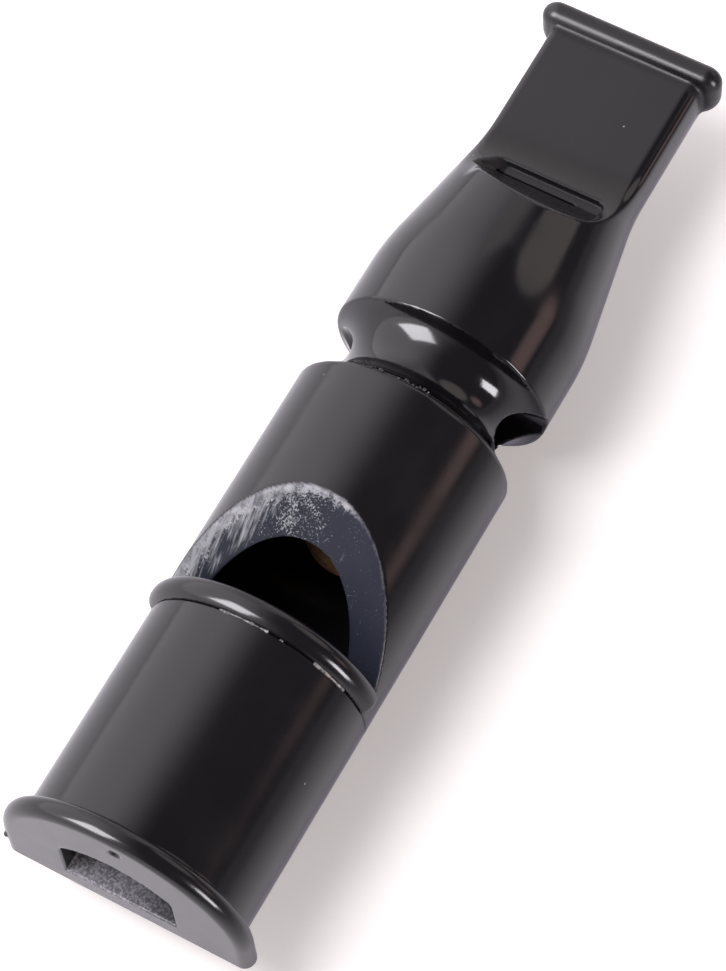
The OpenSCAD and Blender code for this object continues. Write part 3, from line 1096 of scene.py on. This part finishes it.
class WHISTLE_OT_pea_ball(bpy.types.Operator):
    """Make the cork pea with its pores"""

    bl_idname = "whistle.pea_ball"
    bl_label = "Cork pea"

    def execute(self, context):
        r = mm(sizes().pea_d) / 2
        centre = np.array(pea_centre())

        def pitted(x, y, z):
            return step_up(-ball(x, y, z, centre, r), 0.07, 0.2)

        piece = moulding(
            "cork_pea", pea_field, centre - r, centre + r, cork("pea_cork"), step=PEA_STEP,
            marks={"pitted": pitted})
        settle(piece, PEA_BODY, CORK_SLOT, "pea_ball")
        return {"FINISHED"}


class WHISTLE_OT_tone_body(bpy.types.Operator):
    """Make the tone body with its neck, cord hole, slot and beak"""

    bl_idname = "whistle.tone_body"
    bl_label = "Tone body"

    def execute(self, context):
        def rough_hollow(x, y, z):
            return SLOT_SHARE * step_up(-tone_window_field(x, y, z), -0.12, -0.03)

        def dull(x, y, z):
            corner = step_up(x, *CORNER_DULL_X) * (1 - step_up(x, *CORNER_END_X))
            pocket = step_up(-np.abs(tone_window_field(x, y, z)), -0.25, -0.1)
            pocket = pocket * (1 - step_up(z, *POCKET_TOP_Z))
            return LIP_DULL * step_up(x, *LIP_DULL_X) + CORNER_DULL * corner + POCKET_DULL * pocket

        reach = TUBE_R + TONE_NUB_R
        slot = colours().slot
        piece = moulding(
            "tone_skin", tone_body_field, (PLUG_X, -reach, -TUBE_R), (WHOLE_L, TUBE_R, TUBE_R),
            black_plastic("tone_plastic", TONE_ROUGHNESS, hollow=(slot, shaded(slot, SLOT_PEAK_SHADE))),
            step=TONE_STEP * mm(sizes().mesh_step),
            marks={"rough_hollow": rough_hollow, "dull": dull})
        settle(piece, BODY, PLASTIC_SLOT, "tone_body")
        return {"FINISHED"}


class WHISTLE_OT_windway_blocks(bpy.types.Operator):
    """Give the two windway blocks their granular finish"""

    bl_idname = "whistle.windway_blocks"
    bl_label = "Windway blocks"

    def execute(self, context):
        finish = grainy_plastic("block_plastic_grained")
        for name in ("pea_windway_block", "tone_windway_block"):
            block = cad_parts[name]
            block.data.materials.clear()
            block.data.materials.append(finish)
        return {"FINISHED"}


class WHISTLE_OT_seam_flash(bpy.types.Operator):
    """Run the burr along the seam between the mouthpiece and the barrel"""

    bl_idname = "whistle.seam_flash"
    bl_label = "Seam flash"

    def execute(self, context):
        carrier = wire_arcs("seam_flash", SEAM_X - FLASH_BACK, TUBE_R, FLASH_ARCS)
        tree = seam_flash_tree(dried_glue("flash_plastic", FLASH_PALE_FROM))
        grown(carrier, tree, {"Thickness": sizes().flash_h, "Unevenness": 700.0})
        settle(carrier, BODY, PLASTIC_SLOT)
        return {"FINISHED"}


class WHISTLE_OT_glue_specks(bpy.types.Operator):
    """Scatter crumbs of dried glue in the gap between the barrel and the neck"""

    bl_idname = "whistle.glue_specks"
    bl_label = "Glue specks"

    def execute(self, context):
        ring_r = TUBE_R - NECK_STEP - GLUE_SINK
        carrier = wire_arcs("neck_glue_specks", BARREL_END_X + GLUE_AHEAD, ring_r, GLUE_ARCS)
        tree = glue_speck_tree(dried_glue("speck_glue", GLUE_PALE_FROM))
        grown(carrier, tree, {
            "Count": sizes().speck_count, "Smallest": 0.00004, "Largest": 0.00015, "Spread": 0.00018,
            "Seed": 3})
        settle(carrier, BODY, PLASTIC_SLOT)
        return {"FINISHED"}


# Camera of the photo: its axes as columns, its place in metres, its lens and sensor in millimetres
CAMERA_AXES = (
    (0.4865897, 0.7920307, -0.3686705),
    (-0.8721170, 0.4155462, -0.2583277),
    (-0.0514039, 0.4472234, 0.8929439),
)
CAMERA_PLACE = (-0.1200344, -0.0805764, 0.2908031)
CAMERA_LENS = 140.615
SENSOR = 36.0
CAMERA_CLIP = (0.01, 20.0)
MIDDLE = (0.0, 0.0, 0.012)
FLOOR_HALF = 3.0

# Each softbox: name, direction from the whistle, distance, width, height, radiance, colour,
# whether it lights matt surfaces and whether it shows in gloss
SOFTBOXES = (
    ("top_fill", (-0.25, 0.36, 0.90), 0.70, 0.35, 0.35, 9.5, (1.0, 0.97, 1.0), True, False),
    ("right_fill", (-0.30, -0.91, 0.28), 0.70, 0.21, 0.33, 7.0, (1.0, 0.84, 0.78), True, False),
    ("left_sheen", (-0.68, 0.47, 0.56), 0.70, 0.37, 0.45, 13.5, (1.0, 0.965, 1.02), False, True),
    ("right_sheen", (-0.35, -0.92, 0.18), 0.70, 0.21, 0.30, 17.0, (1.0, 0.965, 1.02), False, True),
)
# Surroundings: dim at the right, bright at the left and less so far off, with patches that gloss picks up
DIM_SIDE = (0.17, 0.152, 0.18)
BRIGHT_SIDE = (2.07, 1.98, 2.11)
SIDE_START, SIDE_END = -0.2, 0.62
FAR_START, FAR_END = 1.4, 0.35
# Each patch lightens the surroundings: direction, cosines at its rim and at its full strength, colour
PATCHES = (
    ((0.46, -0.86, 0.20), 0.982, 0.998, (1.6, 1.12, 1.05)),
    ((0.72, -0.49, 0.487), 0.946, 0.968, (1.15, 1.02, 1.0)),
    ((0.703, 0.708, 0.064), 0.465, 0.60, (1.05, 0.96, 0.99)),
)
BLACK = (0.0, 0.0, 0.0)
WHITE = (1.0, 1.0, 1.0)
# How far the surroundings are dimmed as a source of light on matt surfaces
MATT_DIMMING = 0.6
# Glow of the floor, as the camera and as the gloss of the whistle see it
SEEN_GLOW = (0.29, 0.277, 0.268)
MIRRORED_GLOW = (0.13, 0.13, 0.185)
# Painted shade on the floor that the gloss sees: where it darkens towards the right, and by how much
MIRRORED_SHADE_Y = (0.0, -0.08)
MIRRORED_SHADE = 0.68


def softbox(name, direction, distance, width, height, radiance, colour, matt, gloss):
    """A rectangular lamp that faces the whistle, with its power set from its brightness."""
    lamp = bpy.data.lights.new(name, "AREA")
    lamp.shape = "RECTANGLE"
    lamp.size, lamp.size_y = width, height
    lamp.energy = radiance * math.pi * width * height
    lamp.color = colour
    place = bpy.data.objects.new(name, lamp)
    way = Vector(direction).normalized()
    place.location = Vector(MIDDLE) + way * distance
    place.rotation_euler = way.to_track_quat("Z", "Y").to_euler()
    place.visible_camera = False
    place.visible_diffuse = matt
    place.visible_glossy = gloss
    bpy.context.scene.collection.objects.link(place)


def floor_material():
    """Pale floor that shows white where it is lit and keeps the soft shadow, with painted shade towards
    the right in what the gloss sees.
    """
    material, tree, shader, place = new_material("studio_floor")
    c = colours()
    path = tree.nodes.new("ShaderNodeLightPath")
    split = tree.nodes.new("ShaderNodeSeparateXYZ")
    tree.links.new(place, split.inputs["Vector"])
    # Painted shade: the floor darkens towards the right for glossy rays only
    painted_shade = product(tree, ramped(tree, split.outputs["Y"], *MIRRORED_SHADE_Y), MIRRORED_SHADE)
    painted_shade = product(tree, painted_shade, path.outputs["Is Glossy Ray"])
    paint = mixed(tree, noise(tree, place, 40.0, 2.0), c.floor, shaded(c.floor, 0.985))
    tree.links.new(mixed(tree, painted_shade, paint, BLACK), shader.inputs["Base Color"])
    shader.inputs["Roughness"].default_value = 0.9
    shader.inputs["Specular IOR Level"].default_value = 0.0
    shown = mixed(tree, path.outputs["Is Camera Ray"], BLACK, SEEN_GLOW)
    shown = mixed(tree, path.outputs["Is Glossy Ray"], shown, MIRRORED_GLOW)
    shown = mixed(tree, painted_shade, shown, BLACK)
    glow = tree.nodes.new("ShaderNodeEmission")
    tree.links.new(shown, glow.inputs["Color"])
    both = tree.nodes.new("ShaderNodeAddShader")
    end = next(n for n in tree.nodes if n.type == "OUTPUT_MATERIAL")
    tree.links.new(shader.outputs["BSDF"], both.inputs[0])
    tree.links.new(glow.outputs["Emission"], both.inputs[1])
    tree.links.new(both.outputs["Shader"], end.inputs["Surface"])
    return material


def studio_world():
    """Surroundings that are bright on the left and dim on the right, which the camera sees as white."""
    world = bpy.data.worlds.new("studio_world")
    world.use_nodes = True
    tree = world.node_tree
    ground = next(n for n in tree.nodes if n.type == "BACKGROUND")
    way = tree.nodes.new("ShaderNodeTexCoord").outputs["Generated"]
    split = tree.nodes.new("ShaderNodeSeparateXYZ")
    tree.links.new(way, split.inputs["Vector"])
    side = ramped(tree, split.outputs["Y"], SIDE_START, SIDE_END)
    side = product(tree, side, ramped(tree, split.outputs["X"], FAR_START, FAR_END))
    colour = mixed(tree, side, DIM_SIDE, BRIGHT_SIDE)
    for direction, rim, full, shade in PATCHES:
        towards = tree.nodes.new("ShaderNodeVectorMath")
        towards.operation = "DOT_PRODUCT"
        tree.links.new(way, towards.inputs[0])
        towards.inputs[1].default_value = Vector(direction).normalized()
        colour = mixed(tree, ramped(tree, towards.outputs["Value"], rim, full), colour, shade)
        colour.node.blend_type = "LIGHTEN"
    path = tree.nodes.new("ShaderNodeLightPath")
    matt = product(tree, path.outputs["Is Diffuse Ray"], MATT_DIMMING)
    colour = mixed(tree, matt, colour, DIM_SIDE)
    colour = mixed(tree, path.outputs["Is Camera Ray"], colour, WHITE)
    tree.links.new(colour, ground.inputs["Color"])
    bpy.context.scene.world = world


class WHISTLE_OT_stage(bpy.types.Operator):
    """Lay the pale floor and set the soft lamps, the surroundings and the camera"""

    bl_idname = "whistle.stage"
    bl_label = "Stage"

    def execute(self, context):
        scene = context.scene
        scene.view_settings.view_transform = "Standard"
        corners = [(FLOOR_HALF * i, FLOOR_HALF * j, 0) for i, j in ((-1, -1), (1, -1), (1, 1), (-1, 1))]
        mesh = bpy.data.meshes.new("floor")
        mesh.from_pydata(corners, [], [(0, 1, 2, 3)])
        mesh.materials.append(floor_material())
        floor = bpy.data.objects.new("floor", mesh)
        scene.collection.objects.link(floor)
        for box in SOFTBOXES:
            softbox(*box)
        studio_world()
        camera = bpy.data.objects.new("camera", bpy.data.cameras.new("camera"))
        camera.matrix_world = Matrix.Translation(CAMERA_PLACE) @ Matrix(CAMERA_AXES).to_4x4()
        camera.data.sensor_width = SENSOR
        camera.data.lens = CAMERA_LENS
        camera.data.clip_start, camera.data.clip_end = CAMERA_CLIP
        scene.collection.objects.link(camera)
        scene.camera = camera
        return {"FINISHED"}


OPERATORS = (
    WHISTLE_OT_stage,
    WHISTLE_OT_pea_mouthpiece,
    WHISTLE_OT_pea_barrel,
    WHISTLE_OT_pea_ball,
    WHISTLE_OT_tone_body,
    WHISTLE_OT_windway_blocks,
    WHISTLE_OT_seam_flash,
    WHISTLE_OT_glue_specks,
)


class WHISTLE_PT_panel(bpy.types.Panel):
    """Sizes, colours and pieces of the whistle"""

    bl_idname = "WHISTLE_PT_panel"
    bl_label = "Dog whistle"
    bl_space_type = "VIEW_3D"
    bl_region_type = "UI"
    bl_category = "Whistle"

    def draw(self, context):
        column = self.layout.column()
        for group in (context.scene.whistle_sizes, context.scene.whistle_colours):
            for name in group.__annotations__:
                column.prop(group, name)
        for operator in OPERATORS:
            column.operator(operator.bl_idname)


CLASSES = (WhistleSizes, WhistleColours, *OPERATORS, WHISTLE_PT_panel)


def register():
    for cls in CLASSES:
        bpy.utils.register_class(cls)
    bpy.types.Scene.whistle_sizes = PointerProperty(type=WhistleSizes)
    bpy.types.Scene.whistle_colours = PointerProperty(type=WhistleColours)


def unregister():
    del bpy.types.Scene.whistle_colours
    del bpy.types.Scene.whistle_sizes
    for cls in reversed(CLASSES):
        bpy.utils.unregister_class(cls)


def main():
    register()
    for operator in OPERATORS:
        group, name = operator.bl_idname.split(".")
        getattr(getattr(bpy.ops, group), name)()


if __name__ == "__main__":
    main()
